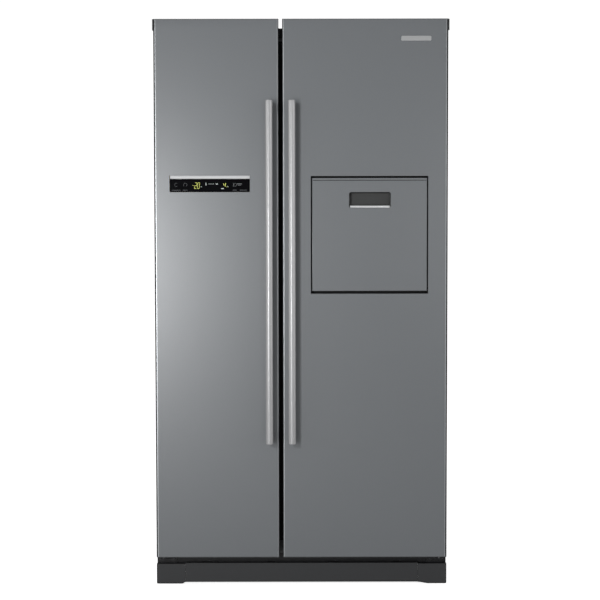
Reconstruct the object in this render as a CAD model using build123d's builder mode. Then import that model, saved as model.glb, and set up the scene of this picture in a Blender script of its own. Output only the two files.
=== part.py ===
"""Side by side refrigerator: cabinet, two doors, home bar, drawers, cooling parts.

Millimetres. Origin at the centre of the footprint on the floor, +Z up, the doors face -Y
and +X is to the right of someone facing them. "s" is the depth behind the door front.
"""

from build123d import *
import os

os.makedirs("parts", exist_ok=True)

# cabinet
SIDE = 456.0
FRONT = -239.5
REAR = 367.5
SHELL_FOOT = 40.0
CABINET_TOP = 1742.0
SHEET = 1.0
FLANGE = 40.0
LINER_T = 2.5
FOAM_BASE = 100.0
MACHINE_Y = 170.0
MACHINE_TOP = 270.0
FLOOR_IN = 150.0
CEILING_IN = 1687.0
REAR_IN = 306.0
LOW_REAR_IN = 125.0
STEP_IN = 315.0
FREEZER_IN = (-394.0, -92.0)
FRIDGE_IN = (-34.0, 410.0)

# doors
DOOR_FRONT = -311.5
DOOR_LOW = 97.5
DOOR_HIGH = 1764.0
BODY_HIGH = 1738.0
LIP_T = 9.0
LEFT_DOOR = (-452.5, -68.6)
RIGHT_DOOR = (-57.4, 452.5)
EDGE_R = 5.0
HINGE_X = 432.0
HINGE_Y = DOOR_FRONT + 26.0
PIN_R = 5.0
FIT = 0.05
FREEZER_DYKE = (-384.0, -102.0)
FRIDGE_DYKE = (-26.0, 384.0)
DYKE_Z = (165.0, 1676.0)
DYKE_S = 22.0

# handles
HANDLE_W = 22.0
HANDLE_FRONT = -367.5
HANDLE_Z = (460.0, 1513.0)
HANDLE_X = (-98.0, -28.0)
BAR_T = 15.0
CAP_H = 10.0

# home bar
BAR_OPEN_X = (30.0, 392.0)
BAR_OPEN_Z = (920.5, 1283.7)
BAR_X = (34.0, 388.5)
BAR_Z = (929.0, 1277.6)
TRAY_S = 42.0
TUNNEL_X = (62.0, 360.0)
TUNNEL_Z = (960.0, 1250.0)
BAR_AXIS = (DOOR_FRONT + 8.0, 937.0)
GRIP_X = (147.8, 276.5)
GRIP_Z = (1193.4, 1234.3)
LIP_Z = 1185.4

# shelves and drawers
SHELF_Y = (-148.0, 255.0)
FREEZER_SHELVES = (476.0, 740.0, 980.0, 1220.0)
FRIDGE_SHELVES = (476.0, 760.0, 1020.0, 1280.0, 1500.0)
GLASS_T = 4.0
DRAWER_FRONT = -140.0
FREEZER_DRAWER_X = (-385.0, -101.0)
CRISPER_X = (-25.0, 385.0)
RUNNER_GAP = 2.0


def slab(x, y, z, mode=Mode.ADD):
    """Box between pairs of X, Y and Z limits."""
    with Locations((min(x), min(y), min(z))):
        Box(
            abs(x[1] - x[0]), abs(y[1] - y[0]), abs(z[1] - z[0]),
            align=(Align.MIN, Align.MIN, Align.MIN), mode=mode,
        )


def rod(start, radius, length, axis="Z", mode=Mode.ADD):
    """Cylinder from a start point along +X, +Y or +Z."""
    turn = {"X": (0, 90, 0), "Y": (-90, 0, 0), "Z": (0, 0, 0)}[axis]
    with Locations(Location(start, turn)):
        Cylinder(
            radius, length, align=(Align.CENTER, Align.CENTER, Align.MIN), mode=mode
        )


def grow(pair, amount):
    """The pair of limits moved apart by an amount at each end."""
    return (min(pair) - amount, max(pair) + amount)


def depth(front, back):
    """Y limits from two depths behind the door front."""
    return (DOOR_FRONT + front, DOOR_FRONT + back)


def ring(x, z, y, width):
    """Rectangular ring in the XZ plane; width is the width of its sides."""
    slab(x, y, z)
    slab(grow(x, -width), y, grow(z, -width), Mode.SUBTRACT)


def rounded(x, y, radius):
    """Rectangle with its two front corners rounded."""
    with BuildSketch() as face:
        with Locations(((x[0] + x[1]) / 2, (y[0] + y[1]) / 2)):
            Rectangle(x[1] - x[0], y[1] - y[0])
        fillet(face.vertices().group_by(Axis.Y)[0], radius)
    return face.sketch


def prism(face, z, mode=Mode.ADD):
    """Extrude a flat face between two heights."""
    extrude(face.moved(Location((0, 0, z[0]))), amount=z[1] - z[0], mode=mode)


def door_skin(x):
    """Folded sheet: front face, side returns and a raised front lip at the top."""
    outer = rounded(x, depth(0, 56), EDGE_R)
    inner = rounded(grow(x, -SHEET), depth(SHEET, 60), EDGE_R - SHEET)
    prism(outer, (99.5, DOOR_HIGH - 2))
    prism(inner, (99.5, DOOR_HIGH - 2), Mode.SUBTRACT)
    slab(grow(x, 1), depth(LIP_T, 60), (BODY_HIGH - 2, DOOR_HIGH), Mode.SUBTRACT)


def door_core(x):
    """Foam filling of a door between its caps."""
    inner = rounded(grow(x, -SHEET), depth(SHEET, 57), EDGE_R - SHEET)
    prism(inner, (112, 1722))


def door_liner(x, dyke):
    """Inner plastic sheet with a raised dyke that keeps the bins between its sides."""
    slab(x, depth(57, 60), (99.5, BODY_HIGH - 2))
    slab(dyke, depth(60, 60 + DYKE_S), DYKE_Z)
    slab(grow(dyke, -14), depth(60, 60 + DYKE_S), grow(DYKE_Z, -14), Mode.SUBTRACT)


def door_caps(x, hinge):
    """Top cap with its lip and corner flank, and bottom cap, each bored for a pin."""
    side = 1 if hinge > 0 else -1
    inner = rounded(grow(x, -SHEET), depth(SHEET, 57), EDGE_R - SHEET)
    lip = rounded(grow(x, -SHEET), depth(SHEET, LIP_T), EDGE_R - SHEET)
    crest = rounded(x, depth(0, LIP_T), EDGE_R)
    prism(inner, (1722, BODY_HIGH - 2))
    slab(grow(x, 0), depth(LIP_T, 60), (BODY_HIGH - 2, BODY_HIGH))
    prism(lip, (BODY_HIGH - 2, DOOR_HIGH - 2))
    prism(crest, (DOOR_HIGH - 2, DOOR_HIGH))
    flank = depth(EDGE_R + 0.5, LIP_T - 0.5)
    slab((side * 452.5, side * SIDE), flank, (1729, DOOR_HIGH - 2))
    slab((side * 446, side * SIDE), flank, (DOOR_HIGH - 2, DOOR_HIGH))
    prism(inner, (99.5, 112))
    prism(rounded(x, depth(0, 60), EDGE_R), (DOOR_LOW, 99.5))
    rod((hinge, HINGE_Y, 1722), PIN_R + FIT, 20, mode=Mode.SUBTRACT)
    rod((hinge, HINGE_Y, 95), PIN_R + FIT, 17, mode=Mode.SUBTRACT)


def handle_bar(x):
    """Extruded bar with a softly convex front, between its two end caps."""
    half = HANDLE_W / 2
    back = HANDLE_FRONT + BAR_T
    with BuildSketch() as face:
        with BuildLine():
            Line((x - half, HANDLE_FRONT + 4), (x - half, back))
            Line((x - half, back), (x + half, back))
            Line((x + half, back), (x + half, HANDLE_FRONT + 4))
            ThreePointArc(
                (x + half, HANDLE_FRONT + 4), (x, HANDLE_FRONT), (x - half, HANDLE_FRONT + 4)
            )
        make_face()
        fillet(face.vertices().group_by(Axis.Y)[-1], 3)
    prism(face.sketch, grow(HANDLE_Z, -CAP_H))


def handle_posts(x):
    """The two end caps and the standoffs that carry the bar on the door."""
    half = HANDLE_W / 2
    for z, outward in ((HANDLE_Z[0], 1), (HANDLE_Z[1], -1)):
        cap = (z, z + outward * CAP_H)
        foot = (z, z + outward * 34)
        slab((x - half, x + half), (HANDLE_FRONT + 1, HANDLE_FRONT + BAR_T), cap)
        slab((x - half, x + half), (HANDLE_FRONT + BAR_T, HANDLE_FRONT + BAR_T + 6), foot)
        slab((x - 8, x + 8), (HANDLE_FRONT + BAR_T + 6, DOOR_FRONT), foot)


def gasket(x):
    """Magnetic seal round a door, just clear of the cabinet front."""
    ring(x, (112, 1710), depth(60, 71.5), 14)


def open_bin(x, z, back, t=3.0):
    """Open-topped door bin hung on the liner."""
    slab(x, depth(60, back), z)
    slab(grow(x, -t), depth(60 + t, back - t), (z[0] + t, z[1]), Mode.SUBTRACT)


def open_drawer(x, y, z, t=3.0):
    """Open-topped drawer with a thicker front, a pull lip and side runners."""
    slab(x, y, z)
    slab(grow(x, -t), (y[0] + 8, y[1] - t), (z[0] + t, z[1]), Mode.SUBTRACT)
    slab((sum(x) / 2 - 60, sum(x) / 2 + 60), (y[0] - 8, y[0]), (z[1] - 14, z[1] - 4))
    slab((x[0] - 5, x[0]), (y[0] + 12, y[1]), (z[1] - 8, z[1] - 4))
    slab((x[1], x[1] + 5), (y[0] + 12, y[1]), (z[1] - 8, z[1] - 4))


def cavity(x, extra):
    """A compartment's space, deeper above the machine room than in front of it."""
    reach = FRONT - 1
    floor = FLOOR_IN - extra
    slab(grow(x, extra), (reach, LOW_REAR_IN + extra), (floor, CEILING_IN + extra), Mode.SUBTRACT)
    high = (STEP_IN - extra, CEILING_IN + extra)
    slab(grow(x, extra), (reach, REAR_IN + extra), high, Mode.SUBTRACT)


def liner(x, flange_x):
    """Moulded compartment lining with a front flange and side ribs for the shelves."""
    face = (FRONT + SHEET, FRONT + SHEET + LINER_T)
    slab(flange_x, face, (112, 1741))
    top = (FLOOR_IN - LINER_T, CEILING_IN + LINER_T)
    slab(grow(x, LINER_T), (face[1], LOW_REAR_IN + LINER_T), top)
    high = (STEP_IN - LINER_T, CEILING_IN + LINER_T)
    slab(grow(x, LINER_T), (face[1], REAR_IN + LINER_T), high)
    cavity(x, 0)


def shelf_ribs(x, heights):
    """Side ribs under each shelf and under each drawer's runners."""
    for z in heights:
        for a in ((x[0], x[0] + 6), (x[1] - 6, x[1])):
            slab(a, (SHELF_Y[0] + 10, SHELF_Y[1] - 10), (z - 8, z))


def runner_ribs(x, drawer):
    """Rails from the liner's sides to just short of the drawer between them."""
    for z, rear in ((300, 110), (460, 250)):
        for a in ((x[0], drawer[0] - RUNNER_GAP), (drawer[1] + RUNNER_GAP, x[1])):
            slab(a, (DRAWER_FRONT - 70, rear), (z - 6, z))


def blades(centre, radius, hub, count, axis, pitch, thick, span):
    """Fan rotor: a hub with flat blades set at an angle."""
    turn = {"X": (0, 90, 0), "Y": (-90, 0, 0)}[axis]
    base = Location(centre, turn)
    with Locations(base):
        Cylinder(hub, span, align=(Align.CENTER, Align.CENTER, Align.MIN))
    for k in range(count):
        angle = 360.0 / count * k
        reach = (hub + radius) / 2
        place = (
            base
            * Location((0, 0, span / 2), (0, 0, angle))
            * Location((reach, 0, 0), (pitch, 0, 0))
        )
        with Locations(place):
            Box(radius - hub + 4, hub * 1.5, thick)


# cabinet body ---------------------------------------------------------------

with BuildPart() as cabinet_shell:
    slab((-SIDE, SIDE), (FRONT, REAR - 1), (SHELL_FOOT, CABINET_TOP))
    inside = (-SIDE + SHEET, SIDE - SHEET)
    slab(inside, (FRONT + SHEET, REAR), (SHELL_FOOT - 1, CABINET_TOP - SHEET), Mode.SUBTRACT)
    opening = grow((-SIDE, SIDE), -FLANGE)
    slab(opening, (FRONT - 1, FRONT + 2), (96 + FLANGE, CABINET_TOP - FLANGE), Mode.SUBTRACT)
    slab(inside, (FRONT - 1, FRONT + 2), (SHELL_FOOT - 1, 96), Mode.SUBTRACT)

with BuildPart() as back_panel:
    slab((-SIDE, SIDE), (REAR - 1, REAR), (MACHINE_TOP, CABINET_TOP))

with BuildPart() as insulation_foam:
    slab(inside, (FRONT + SHEET + LINER_T, REAR - 1), (FOAM_BASE, CABINET_TOP - SHEET))
    cavity(FREEZER_IN, LINER_T)
    cavity(FRIDGE_IN, LINER_T)
    slab(grow(inside, 1), (MACHINE_Y, REAR), (FOAM_BASE - 1, MACHINE_TOP), Mode.SUBTRACT)

RAIL_X = (-85.0, -41.0)
RAIL_Z = (112.0, 1741.0)

with BuildPart() as freezer_liner:
    liner(FREEZER_IN, (inside[0], RAIL_X[0]))
    shelf_ribs(FREEZER_IN, FREEZER_SHELVES)
    runner_ribs(FREEZER_IN, FREEZER_DRAWER_X)

with BuildPart() as fridge_liner:
    liner(FRIDGE_IN, (RAIL_X[1], inside[1]))
    shelf_ribs(FRIDGE_IN, FRIDGE_SHELVES)
    runner_ribs(FRIDGE_IN, CRISPER_X)

with BuildPart() as mullion_rail:
    slab(RAIL_X, (FRONT + SHEET, FRONT + SHEET + LINER_T), RAIL_Z)
    slab(RAIL_X, (FRONT, FRONT + SHEET), (96 + FLANGE, CABINET_TOP - FLANGE))

TRIM_T = 1.5

with BuildPart() as top_front_trim:
    slab((-SIDE, SIDE), (FRONT - TRIM_T, FRONT), (1713, CABINET_TOP))
    slab((-SIDE, SIDE), (FRONT - TRIM_T - 1, FRONT), (1711.5, 1713))

FRAME_T = 10.0
FOOT = (410.0, -190.0)
ROLLER = (425.0, 320.0)
ROLLER_R = 18.0
ROLLER_W = 18.0
AXLE_R = 4.0
STEM_R = 5.0
PLATE_Z = (SHELL_FOOT, SHELL_FOOT + 3)
COMPRESSOR = (-270.0, 268.0)
COMPRESSOR_R = 72.0
COMPRESSOR_Z = (66.0, 216.0)

with BuildPart() as base_frame:
    for side in (-1, 1):
        web = (side * inside[1], side * (inside[1] - FRAME_T))
        slab(web, (FRONT + SHEET, REAR - 2), (SHELL_FOOT, FOAM_BASE))
        slab(web, (MACHINE_Y, REAR - 2), (FOAM_BASE, MACHINE_TOP))
    inner = grow(inside, -FRAME_T)
    slab(inner, (FRONT + SHEET, FRONT + SHEET + 6), (60, FOAM_BASE - 4))
    slab(inner, (FRONT + SHEET + 6, FRONT + 90), (90, FOAM_BASE - 4))
    slab(inner, (MACHINE_Y, REAR - 2), PLATE_Z)
    slab(inner, (MACHINE_Y, MACHINE_Y + 3), (PLATE_Z[1], FOAM_BASE))
    for side in (-1, 1):
        x, y = side * FOOT[0], FOOT[1]
        slab((x - side * 16, side * (inside[1] - FRAME_T)), (y - 16, y + 16), (SHELL_FOOT, 64))
        rod((x, y, SHELL_FOOT - 1), STEM_R + FIT, 30, mode=Mode.SUBTRACT)
        x, y = side * ROLLER[0], ROLLER[1]
        for end in (-1, 1):
            inner_face = x + end * (ROLLER_W / 2 + 1)
            slab((inner_face, inner_face + end * 3), (y - 16, y + 16), (9, SHELL_FOOT))
        rod((x - ROLLER_W / 2 - 2, y, ROLLER_R), AXLE_R, ROLLER_W + 4, "X")
    for dx in (-60, 60):
        for dy in (-50, 50):
            rod((COMPRESSOR[0] + dx, COMPRESSOR[1] + dy, PLATE_Z[1]), 5, 18)

CORD = (-415.0, 80.0)
GLAND_R = 10.0
GLAND_Y = (REAR - 12, REAR)
CORD_R = 4.5

with BuildPart() as machine_cover:
    slab((-SIDE, SIDE), (REAR - 1, REAR), (SHELL_FOOT, MACHINE_TOP))
    for row in range(7):
        z = 75 + 22 * row
        for x in (-250, 0, 250):
            slab((x - 100, x + 100), (REAR - 3, REAR + 1), (z, z + 8), Mode.SUBTRACT)
    rod((CORD[0], REAR - 3, CORD[1]), GLAND_R, 5, "Y", Mode.SUBTRACT)

with BuildPart() as cable_gland:
    rod((CORD[0], GLAND_Y[0], CORD[1]), GLAND_R, GLAND_Y[1] - GLAND_Y[0], "Y")
    rod((CORD[0], GLAND_Y[0], CORD[1]), GLAND_R + 3, 10, "Y")
    rod((CORD[0], GLAND_Y[0] - 1, CORD[1]), CORD_R, 15, "Y", Mode.SUBTRACT)

with BuildPart() as compressor:
    low, high = COMPRESSOR_Z
    with BuildSketch(Plane.XY.offset(low)) as shell_outline:
        with Locations(COMPRESSOR):
            Ellipse(COMPRESSOR_R + 14, COMPRESSOR_R)
    extrude(amount=high - low)
    fillet(compressor.edges().group_by(Axis.Z)[0], 16)
    fillet(compressor.edges().group_by(Axis.Z)[-1], 30)
    x, y = COMPRESSOR
    slab((x - 80, x + 80), (y - 60, y + 60), (low - 5, low))
    slab((x - 30, x + 30), (y - 30, y + 30), (low, low + 14))
    slab((x + 60, x + 118), (y - 26, y + 26), (105, 165))

COIL_X = (190.0, 400.0)
COIL_Y = (190.0, 340.0)
COIL_Z = (50.0, 235.0)
COIL_FIN_T = 1.5
COIL_PIPE_R = 4.0

with BuildPart() as condenser_coil:
    for k in range(15):
        x = COIL_X[0] + k * (COIL_X[1] - COIL_X[0]) / 14
        slab((x - COIL_FIN_T / 2, x + COIL_FIN_T / 2), COIL_Y, COIL_Z)
    for row in range(4):
        z = 75 + 45 * row
        for y in (225, 265, 305):
            rod((COIL_X[0] - 8, y, z), COIL_PIPE_R, COIL_X[1] - COIL_X[0] + 16, "X")
    for y in (200, 324):
        slab(grow(COIL_X, -10), (y, y + 6), (PLATE_Z[1], COIL_Z[0]))

CONDENSER_FAN = (60.0, 265.0, 150.0)

with BuildPart() as condenser_fan_shroud:
    x, y, z = CONDENSER_FAN
    slab((x + 20, x + 23), (185, 345), (PLATE_Z[1], 245))
    rod((x + 19, y, z), 78, 5, "X", Mode.SUBTRACT)
    slab((x - 46, x - 20), (y - 22, y + 22), (z - 22, z + 22))
    for angle in (45, 135, 225, 315):
        arm = Location((x - 18, y, z)) * Location((0, 0, 0), (angle, 0, 0)) * Location((0, 50, 0))
        with Locations(arm):
            Box(4, 74, 6)
        post = Location((x - 20, y, z)) * Location((0, 0, 0), (angle, 0, 0)) * Location((0, 86, 0))
        with Locations(post):
            Box(40, 10, 6, align=(Align.MIN, Align.CENTER, Align.CENTER))
    rod((x - 21, y, z), 3, 24, "X")

with BuildPart() as condenser_fan:
    x, y, z = CONDENSER_FAN
    blades((x - 12, y, z), 72, 20, 5, "X", 25, 2, 22)
    rod((x - 13, y, z), 3 + FIT, 17, "X", Mode.SUBTRACT)

PAN_X = (-150.0, 10.0)
PAN_Y = (195.0, 345.0)
PAN_HIGH = 75.0
PAN_T = 3.0

with BuildPart() as drain_pan:
    slab(PAN_X, PAN_Y, (PLATE_Z[1], PAN_HIGH))
    inner_z = (PLATE_Z[1] + PAN_T, PAN_HIGH + 1)
    slab(grow(PAN_X, -PAN_T), grow(PAN_Y, -PAN_T), inner_z, Mode.SUBTRACT)

HINGE_T = 4.0
HINGE_EYE_R = 12.0
PIN_LENGTH = 19.0
COVER_X = (340.0, 450.0)
HINGE_COVER_Y = (-205.0, -115.0)
HINGE_COVER_Z = (CABINET_TOP, 1775.0)
HINGE_COVER_T = 2.5

with BuildPart() as top_hinges:
    for side in (-1, 1):
        with BuildSketch(Plane.XY.offset(CABINET_TOP)) as arm:
            with Locations((side * HINGE_X, HINGE_Y)):
                Circle(HINGE_EYE_R)
            a, b = side * (HINGE_X - 14), side * (HINGE_X - 44)
            near = (HINGE_Y - 12, HINGE_Y + 10, HINGE_Y + 24)
            Polygon(
                (side * HINGE_X, near[0]), (side * HINGE_X, near[1]), (a, near[2]),
                (a, -130), (side * 350, -130), (side * 350, FRONT), (b, HINGE_Y + 16),
                (side * (HINGE_X - 24), near[0]), align=None,
            )
        extrude(amount=HINGE_T)
        rod((side * HINGE_X, HINGE_Y, CABINET_TOP + 1 - PIN_LENGTH), PIN_R, PIN_LENGTH)

with BuildPart() as hinge_screws:
    for side in (-1, 1):
        for x, y in ((400, -150), (370, -150), (385, -185)):
            rod((side * x, y, CABINET_TOP + HINGE_T), 5.5, 3)
        for x in (408, 438):
            rod((side * x, FRONT - 5.5, 76), 5, 2, "Y")

with BuildPart() as hinge_covers:
    for side in (-1, 1):
        x = (side * COVER_X[0], side * COVER_X[1])
        front, rear = HINGE_COVER_Y
        low, high = HINGE_COVER_Z
        slab(x, HINGE_COVER_Y, HINGE_COVER_Z)
        hollow = (grow(x, -HINGE_COVER_T), (front - 1, rear - HINGE_COVER_T))
        slab(*hollow, (low - 1, high - HINGE_COVER_T), Mode.SUBTRACT)
        slab(x, (front, front + HINGE_COVER_T), (low + HINGE_T + 1, high))

LOW_HINGE_Z = 92.0

with BuildPart() as bottom_hinges:
    for side in (-1, 1):
        with BuildSketch(Plane.XY.offset(LOW_HINGE_Z - HINGE_T)) as foot_plate:
            with Locations((side * HINGE_X, HINGE_Y)):
                Circle(HINGE_EYE_R)
            Polygon(
                (side * (HINGE_X + 12), HINGE_Y), (side * (HINGE_X + 12), FRONT - 3.5),
                (side * 395, FRONT - 3.5), (side * 395, HINGE_Y + 10), (side * HINGE_X, HINGE_Y - 12),
                align=None,
            )
        extrude(amount=HINGE_T)
        slab((side * 395, side * 450), (FRONT - 3.5, FRONT + SHEET), (64, LOW_HINGE_Z))
        rod((side * HINGE_X, HINGE_Y, LOW_HINGE_Z - 1), PIN_R, PIN_LENGTH)
        rod((side * HINGE_X, HINGE_Y, LOW_HINGE_Z), 9, 5)

COVER_Y = (-266.5, -250.0)
COVER_HALF = 366.0
COVER_T = 3.0
COVER_Z = (8.5, 69.5)
COVER_END_Z = (4.0, 67.0)

with BuildPart() as base_cover:
    span = (-COVER_HALF, COVER_HALF)
    slab(span, (COVER_Y[0], COVER_Y[0] + COVER_T), COVER_Z)
    slab(span, COVER_Y, (COVER_Z[1] - COVER_T, COVER_Z[1]))
    slab(span, COVER_Y, (COVER_Z[0], COVER_Z[0] + COVER_T))
    for x in (-300, -100, 100, 300):
        slab((x - 12, x + 12), (COVER_Y[1], FRONT + SHEET), (62, COVER_Z[1]))
        slab((x - 1.5, x + 1.5), COVER_Y, grow(COVER_Z, -COVER_T))

with BuildPart() as base_cover_ends:
    for side in (-1, 1):
        x = (side * COVER_HALF, side * SIDE)
        slab(x, (COVER_Y[0], COVER_Y[0] + COVER_T), COVER_END_Z)
        slab(x, COVER_Y, (COVER_END_Z[1] - COVER_T, COVER_END_Z[1]))
        slab((side * (SIDE - COVER_T), side * SIDE), COVER_Y, COVER_END_Z)
        slab((side * 378, side * 388), (COVER_Y[1], FRONT + SHEET), (61, 66))

PAD_R = 22.0
PAD_T = 9.0
NUT_T = 8.0
STEM_LENGTH = 50.0

for name, side in (("left", -1), ("right", 1)):
    x, y = side * FOOT[0], FOOT[1]
    with BuildPart() as front_foot:
        rod((x, y, 0), PAD_R, PAD_T)
        with BuildSketch(Plane.XY.offset(PAD_T)) as hexagon:
            with Locations((x, y)):
                RegularPolygon(12, 6)
        extrude(amount=NUT_T)
        rod((x, y, PAD_T + NUT_T), STEM_R, STEM_LENGTH)
    front_foot.part.label = f"front_foot_{name}"
    export_step(front_foot.part, f"parts/front_foot_{name}.step")
    x, y = side * ROLLER[0], ROLLER[1]
    with BuildPart() as rear_roller:
        rod((x - ROLLER_W / 2, y, ROLLER_R), ROLLER_R, ROLLER_W, "X")
        rod((x - ROLLER_W / 2 - 1, y, ROLLER_R), AXLE_R + FIT, ROLLER_W + 2, "X", Mode.SUBTRACT)
    rear_roller.part.label = f"rear_roller_{name}"
    export_step(rear_roller.part, f"parts/rear_roller_{name}.step")

# inside the compartments ------------------------------------------------------


def glass_span(x):
    """Shelf glass spans the compartment less its side clearance."""
    return grow(x, -10)


SHELVES = [(FREEZER_IN, z) for z in FREEZER_SHELVES] + [(FRIDGE_IN, z) for z in FRIDGE_SHELVES]

with BuildPart() as shelf_glass:
    for x, z in SHELVES:
        slab(glass_span(x), grow(SHELF_Y, -8), (z + 2, z + 2 + GLASS_T))

with BuildPart() as shelf_trims:
    for x, z in SHELVES:
        frame_x = grow(x, -2)
        slab(frame_x, SHELF_Y, (z, z + 12))
        slab(glass_span(x), grow(SHELF_Y, -8), (z + 2, z + 13), Mode.SUBTRACT)
        slab(grow(x, -16), grow(SHELF_Y, -14), (z - 1, z + 3), Mode.SUBTRACT)

FAN_Z = 1360.0
DUCT_Y = (262.0, 265.0)
EVAP_FAN = (-243.0, 274.0, FAN_Z)

DUCT_T = 3.0
FREEZER_DUCT_Z = (480.0, 1460.0)
FRIDGE_DUCT_X = (108.0, 268.0)
FRIDGE_DUCT_Y = (280.0, 283.0)
FRIDGE_DUCT_Z = (480.0, 1600.0)

with BuildPart() as freezer_rear_duct:
    duct_x = grow(FREEZER_IN, -4)
    slab(duct_x, (DUCT_Y[0], REAR_IN), FREEZER_DUCT_Z)
    inner = (grow(duct_x, -DUCT_T), (DUCT_Y[1], REAR_IN + 1), grow(FREEZER_DUCT_Z, -DUCT_T))
    slab(*inner, Mode.SUBTRACT)
    for row in range(6):
        z = 560 + row * 14
        slab((-323, -163), (DUCT_Y[0] - 1, DUCT_Y[1] + 1), (z, z + 6), Mode.SUBTRACT)
    for row in range(7):
        z = FAN_Z - 48 + row * 15
        slab((-293, -193), (DUCT_Y[0] - 1, DUCT_Y[1] + 1), (z, z + 7), Mode.SUBTRACT)
    x, y, z = EVAP_FAN
    slab((x - 95, x + 95), (298, 303), (z - 8, z + 8))
    slab((x - 95, x - 90), (DUCT_Y[1], 298), (z - 8, z + 8))
    slab((x + 90, x + 95), (DUCT_Y[1], 298), (z - 8, z + 8))
    rod((x, 290, z), 16, 9, "Y")
    rod((x, 271, z), 2.5, 20, "Y")

with BuildPart() as evaporator_fan:
    x, y, z = EVAP_FAN
    blades((x, 274, z), 60, 14, 5, "Y", 20, 1.6, 12)
    rod((x, 273, z), 2.5 + FIT, 14, "Y", Mode.SUBTRACT)

EVAPORATOR_X = (-366.0, -119.0)
EVAPORATOR_Y = (270.0, 300.0)
EVAPORATOR_Z = (700.0, 1200.0)
EVAPORATOR_FINS = 16
FIN_T = 1.2

with BuildPart() as evaporator:
    pitch = (EVAPORATOR_X[1] - EVAPORATOR_X[0] - FIN_T) / (EVAPORATOR_FINS - 1)
    for k in range(EVAPORATOR_FINS):
        x = EVAPORATOR_X[0] + k * pitch
        slab((x, x + FIN_T), EVAPORATOR_Y, EVAPORATOR_Z)
    for row in range(6):
        z = EVAPORATOR_Z[0] + 35 + 86 * row
        pipe_x = grow(EVAPORATOR_X, 8.5)
        rod((pipe_x[0], sum(EVAPORATOR_Y) / 2, z), 4, pipe_x[1] - pipe_x[0], "X")
    for z in (905, 1005):
        slab(EVAPORATOR_X, (EVAPORATOR_Y[1], REAR_IN), (z, z + 10))

with BuildPart() as fridge_rear_duct:
    slab(FRIDGE_DUCT_X, (FRIDGE_DUCT_Y[0], REAR_IN), FRIDGE_DUCT_Z)
    hollow = (grow(FRIDGE_DUCT_X, -DUCT_T), (FRIDGE_DUCT_Y[1], REAR_IN + 1))
    slab(*hollow, grow(FRIDGE_DUCT_Z, -DUCT_T), Mode.SUBTRACT)
    for z in (640, 900, 1160, 1400):
        for dz in (0, 14, 28):
            for x in (130, 196):
                slab((x, x + 50), grow(FRIDGE_DUCT_Y, 1), (z + dz, z + dz + 6), Mode.SUBTRACT)

ICE_AXIS = (-243.0, 1585.0)
TRAY_Y = (-100.0, 190.0)

ICE_X = (-386.0, -100.0)
ICE_Y = (-130.0, 220.0)
ICE_Z = (1490.0, 1675.0)
ICE_T = 3.0
PIVOT_R = 4.0

with BuildPart() as ice_maker_frame:
    slab(ICE_X, (ICE_Y[0], ICE_Y[0] + 6), ICE_Z)
    slab(grow(ICE_X, -26), (ICE_Y[0] - 1, ICE_Y[0] + 7), (1508, 1660), Mode.SUBTRACT)
    slab(ICE_X, ICE_Y, (ICE_Z[1], CEILING_IN))
    for x in ((ICE_X[0], ICE_X[0] + ICE_T), (ICE_X[1] - ICE_T, ICE_X[1])):
        slab(x, (ICE_Y[0] + 6, ICE_Y[1]), ICE_Z)
    slab(grow(ICE_X, -ICE_T), (ICE_Y[1] - 20, ICE_Y[1]), ICE_Z)
    slab((-263, -223), (-118, -112), (ICE_AXIS[1] - 20, 1675))
    rod((ICE_AXIS[0], -112, ICE_AXIS[1]), PIVOT_R, 20, "Y")
    rod((ICE_AXIS[0], TRAY_Y[1] - 8, ICE_AXIS[1]), PIVOT_R, 20, "Y")

TRAY_POCKETS = 5
POCKET_PITCH = 56.0
POCKET_Y = 50.0
TRAY_T = 3.0

with BuildPart() as ice_tray:
    x, z = ICE_AXIS
    slab((x - 35, x + 35), TRAY_Y, (z - 22, z + 14))
    for row in range(TRAY_POCKETS):
        y = TRAY_Y[0] + 10 + row * POCKET_PITCH
        pocket_x = (x - 35 + TRAY_T, x + 35 - TRAY_T)
        slab(pocket_x, (y, y + POCKET_Y), (z - 22 + TRAY_T, z + 15), Mode.SUBTRACT)
    for y in (TRAY_Y[0] - 1, TRAY_Y[1] - 9):
        rod((x, y, z), PIVOT_R + FIT, 10, "Y", Mode.SUBTRACT)


LOW_DRAWER_Y = (DRAWER_FRONT, 115.0)
HIGH_DRAWER_Y = (DRAWER_FRONT, 250.0)
LOW_DRAWER_Z = (156.0, 308.5)
HIGH_DRAWER_Z = (320.0, 468.5)

with BuildPart() as freezer_drawer_lower:
    open_drawer(FREEZER_DRAWER_X, LOW_DRAWER_Y, LOW_DRAWER_Z)

with BuildPart() as freezer_drawer_upper:
    open_drawer(FREEZER_DRAWER_X, HIGH_DRAWER_Y, HIGH_DRAWER_Z)

with BuildPart() as crisper_lower:
    open_drawer(CRISPER_X, LOW_DRAWER_Y, LOW_DRAWER_Z)

with BuildPart() as crisper_upper:
    open_drawer(CRISPER_X, HIGH_DRAWER_Y, HIGH_DRAWER_Z)

# freezer door -----------------------------------------------------------------

DISPLAY_X = (-405.0, -157.5)
DISPLAY_Z = (1234.6, 1275.0)
STRIP_Z = (1275.0, 1285.0)
DISPLAY_Y = (DOOR_FRONT - 1.2, DOOR_FRONT + 9)

with BuildPart() as freezer_door_skin:
    door_skin(LEFT_DOOR)
    slab(DISPLAY_X, DISPLAY_Y, (DISPLAY_Z[0], STRIP_Z[1]), Mode.SUBTRACT)

with BuildPart() as freezer_door_core:
    door_core(LEFT_DOOR)
    slab(DISPLAY_X, DISPLAY_Y, (DISPLAY_Z[0], STRIP_Z[1]), Mode.SUBTRACT)

with BuildPart() as freezer_door_liner:
    door_liner(LEFT_DOOR, FREEZER_DYKE)

with BuildPart() as freezer_door_caps:
    door_caps(LEFT_DOOR, -HINGE_X)

with BuildPart() as freezer_door_gasket:
    gasket((-430, -74))

with BuildPart() as freezer_handle_bar:
    handle_bar(HANDLE_X[0])

with BuildPart() as freezer_handle_posts:
    handle_posts(HANDLE_X[0])

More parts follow.
